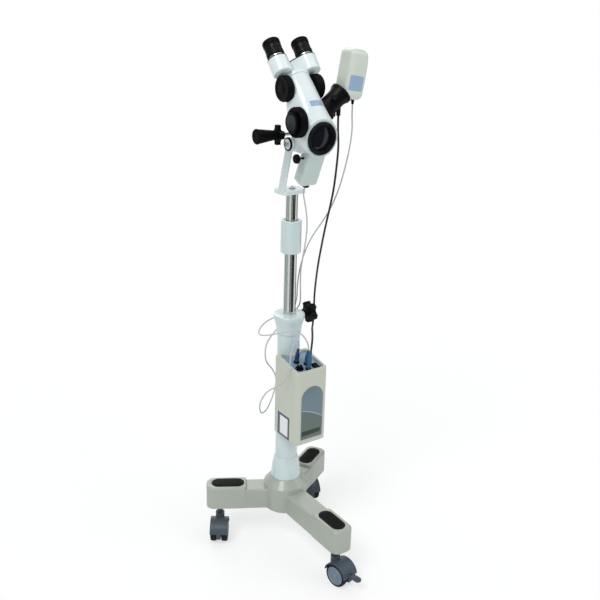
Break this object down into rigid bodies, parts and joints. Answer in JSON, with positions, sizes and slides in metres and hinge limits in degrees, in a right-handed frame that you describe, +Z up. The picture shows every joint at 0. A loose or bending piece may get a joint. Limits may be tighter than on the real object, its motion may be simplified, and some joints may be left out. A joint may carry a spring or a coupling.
{
  "type": "binocular examination microscope on wheeled stand",
  "caption": "Binocular examination microscope with built-in lamp, side camera and power box on a telescoping wheeled stand; head tilts, swivels and rises.",
  "frame": {"origin": "on the floor under the column's axis", "axes": "+Z up along the column; -Y towards what is examined, along the long front leg; +X on the camera's side"},
  "size_m": [0.3493, 0.4133, 1.1694],
  "materials": {
    "head_white": "satin white enamel",
    "column_white": "pale blue-white gloss enamel",
    "base_cream": "warm pale putty enamel",
    "black_plastic": "fine grained black",
    "black_rubber": "ribbed black rubber",
    "black_anodised": "black anodised",
    "caster_grey": "slate blue-grey nylon",
    "caster_tyre": "grey soft tread",
    "steel": "bright zinc plated",
    "chrome": "polished chrome",
    "brass": "turned",
    "lens_glass": "coated optical glass",
    "camera_cream": "ivory moulded plastic",
    "cord_grey": "pale grey sheath",
    "cord_black": "black sheath",
    "plug_blue": "blue moulded plastic",
    "plug_teal": "teal moulded plastic",
    "panel_grey": "pale green-grey panel",
    "circuit": "printed board and iron core"
  },
  "bodies": {
    "root": {"base_casting": "base_cream", "foot_pads": "black_rubber", "caster_sockets": "steel", "column_tube": "column_white", "column_cuff": "column_white", "height_collar": "column_white", "guide_bush": "black_plastic", "box_shell": "base_cream", "box_top_panel": "panel_grey", "box_front_panel": "panel_grey", "box_straps": "steel", "box_electronics": "circuit", "mains_inlet": "black_plastic", "panel_sockets": "black_plastic", "lamp_plug": "plug_blue", "camera_plug": "plug_blue", "video_plug": "plug_teal", "lamp_cord": "cord_grey", "camera_cord": "cord_grey", "video_cord": "cord_black"},
    "caster_left": {"caster_hood_left": "caster_grey"},
    "caster_back": {"caster_hood_back": "caster_grey"},
    "caster_front": {"caster_hood_front": "caster_grey"},
    "wheels_left": {"caster_wheels_left": "caster_tyre"},
    "wheels_back": {"caster_wheels_back": "caster_tyre"},
    "wheels_front": {"caster_wheels_front": "caster_tyre"},
    "brake": {"brake_pedal": "caster_grey"},
    "mast": {"lower_mast": "chrome", "mast_sleeve": "column_white", "swivel_bush": "brass"},
    "height_clamp": {"height_knob": "black_plastic"},
    "carrier": {"upper_post": "chrome", "yoke_bracket": "head_white", "yoke_fasteners": "steel"},
    "head": {"head_body": "head_white", "objective_ring": "black_anodised", "objective_lens": "lens_glass", "lamp_housing": "head_white", "lamp_gland": "black_rubber", "lamp_module": "black_anodised", "handle_rod": "steel", "handle_grip": "black_rubber", "camera_adapter": "black_anodised", "binocular_base": "head_white"},
    "tilt_lock": {"tilt_lock_wheel": "black_plastic"},
    "coarse_focus": {"focus_drum": "black_plastic"},
    "fine_focus": {"fine_focus_knob": "black_plastic"},
    "magnification": {"magnification_knobs": "black_plastic"},
    "filter": {"filter_knob": "black_plastic"},
    "tube_left": {"prism_housing_left": "head_white", "eyepiece_left": "black_anodised"},
    "tube_right": {"prism_housing_right": "head_white", "eyepiece_right": "black_anodised"},
    "diopter_left": {"diopter_ring_left": "black_rubber"},
    "diopter_right": {"diopter_ring_right": "black_rubber"},
    "camera": {"camera_case": "camera_cream", "camera_gland": "black_rubber"},
    "camera_clamp": {"camera_thumb_screw": "steel"},
    "switch": {"power_switch": "black_plastic"},
    "dial": {"brightness_dial": "black_plastic"}
  },
  "joints": [
    {"name": "caster_swivel_left", "type": "hinge", "parent": "root", "child": "caster_left", "pos_m": [-0.1351, 0.078, 0.09], "axis": [0, 0, 1], "continuous": true},
    {"name": "wheel_spin_left", "type": "hinge", "parent": "caster_left", "child": "wheels_left", "pos_m": [-0.14542, 0.06326, 0.027], "axis": [0.8192, -0.5736, 0], "continuous": true},
    {"name": "caster_swivel_back", "type": "hinge", "parent": "root", "child": "caster_back", "pos_m": [0.1351, 0.078, 0.09], "axis": [0, 0, 1], "continuous": true},
    {"name": "wheel_spin_back", "type": "hinge", "parent": "caster_back", "child": "wheels_back", "pos_m": [0.13976, 0.09539, 0.027], "axis": [-0.9659, 0.2588, 0], "continuous": true},
    {"name": "caster_swivel_front", "type": "hinge", "parent": "root", "child": "caster_front", "pos_m": [0, -0.207, 0.09], "axis": [0, 0, 1], "continuous": true},
    {"name": "wheel_spin_front", "type": "hinge", "parent": "caster_front", "child": "wheels_front", "pos_m": [0.00313, -0.22473, 0.027], "axis": [0.9848, 0.1736, 0], "continuous": true},
    {"name": "brake_tip", "type": "hinge", "parent": "caster_front", "child": "brake", "pos_m": [0.0092, -0.25919, 0.036], "axis": [0.9848, 0.1736, 0], "range_deg": [0, 18]},
    {"name": "height_slide", "type": "slide", "parent": "root", "child": "mast", "axis": [0, 0, 1], "range_m": [-0.135, 0.16], "deforming": ["lamp_cord", "camera_cord", "video_cord"]},
    {"name": "height_clamp_turn", "type": "hinge", "parent": "root", "child": "height_clamp", "pos_m": [0.048, 0, 0.57145], "axis": [1, 0, 0], "range_deg": [0, 360]},
    {"name": "stand_swivel", "type": "hinge", "parent": "mast", "child": "carrier", "pos_m": [0, 0, 0.8], "axis": [0, 0, 1], "range_deg": [-90, 90], "deforming": ["lamp_cord", "camera_cord", "video_cord"]},
    {"name": "head_tilt", "type": "hinge", "parent": "carrier", "child": "head", "pos_m": [-0.033, -0.037, 0.965], "axis": [1, 0, 0], "range_deg": [-30, 35], "deforming": ["lamp_cord", "camera_cord", "video_cord"]},
    {"name": "tilt_lock_turn", "type": "hinge", "parent": "head", "child": "tilt_lock", "pos_m": [-0.072, -0.05, 0.9885], "axis": [1, 0, 0], "range_deg": [0, 360]},
    {"name": "coarse_focus_turn", "type": "hinge", "parent": "head", "child": "coarse_focus", "pos_m": [-0.0475, -0.083, 1.016], "axis": [1, 0, 0], "range_deg": [-170, 170]},
    {"name": "fine_focus_turn", "type": "hinge", "parent": "head", "child": "fine_focus", "pos_m": [-0.0595, -0.083, 1.016], "axis": [1, 0, 0], "continuous": true},
    {"name": "magnification_turn", "type": "hinge", "parent": "head", "child": "magnification", "pos_m": [0, -0.0205, 1.073], "axis": [1, 0, 0], "continuous": true},
    {"name": "filter_turn", "type": "hinge", "parent": "head", "child": "filter", "pos_m": [-0.034, -0.07052, 0.94098], "axis": [1, 0, 0], "continuous": true},
    {"name": "tube_swing_left", "type": "hinge", "parent": "head", "child": "tube_left", "pos_m": [-0.0125, 0.00836, 1.10168], "axis": [0, 0.6428, 0.766], "range_deg": [-28, 28]},
    {"name": "diopter_turn_left", "type": "hinge", "parent": "tube_left", "child": "diopter_left", "pos_m": [-0.03458, 0.0243, 1.14052], "axis": [0, 0.6428, 0.766], "range_deg": [-60, 60]},
    {"name": "tube_swing_right", "type": "hinge", "parent": "head", "child": "tube_right", "pos_m": [0.0125, 0.00836, 1.10168], "axis": [0, 0.6428, 0.766], "range_deg": [-28, 28]},
    {"name": "diopter_turn_right", "type": "hinge", "parent": "tube_right", "child": "diopter_right", "pos_m": [0.03458, 0.0243, 1.14052], "axis": [0, 0.6428, 0.766], "range_deg": [-60, 60]},
    {"name": "camera_turn", "type": "hinge", "parent": "head", "child": "camera", "pos_m": [0.08235, -0.05, 1.06282], "axis": [0.7826, 0, 0.6225], "range_deg": [-30, 30], "deforming": ["camera_cord"]},
    {"name": "camera_clamp_turn", "type": "hinge", "parent": "head", "child": "camera_clamp", "pos_m": [0.04848, -0.06839, 1.0556], "axis": [-0.4001, -0.766, 0.5031], "range_deg": [0, 360]},
    {"name": "power_rock", "type": "hinge", "parent": "root", "child": "switch", "pos_m": [0.02, -0.07813, 0.47036], "axis": [1, 0, 0], "range_deg": [0, 12]},
    {"name": "brightness_turn", "type": "hinge", "parent": "root", "child": "dial", "pos_m": [-0.02, -0.07469, 0.48011], "axis": [0, -0.1736, 0.9848], "range_deg": [0, 270]}
  ],
  "couplings": [
    {"joint": "tube_swing_right", "follows": "tube_swing_left", "ratio": -1}
  ]
}
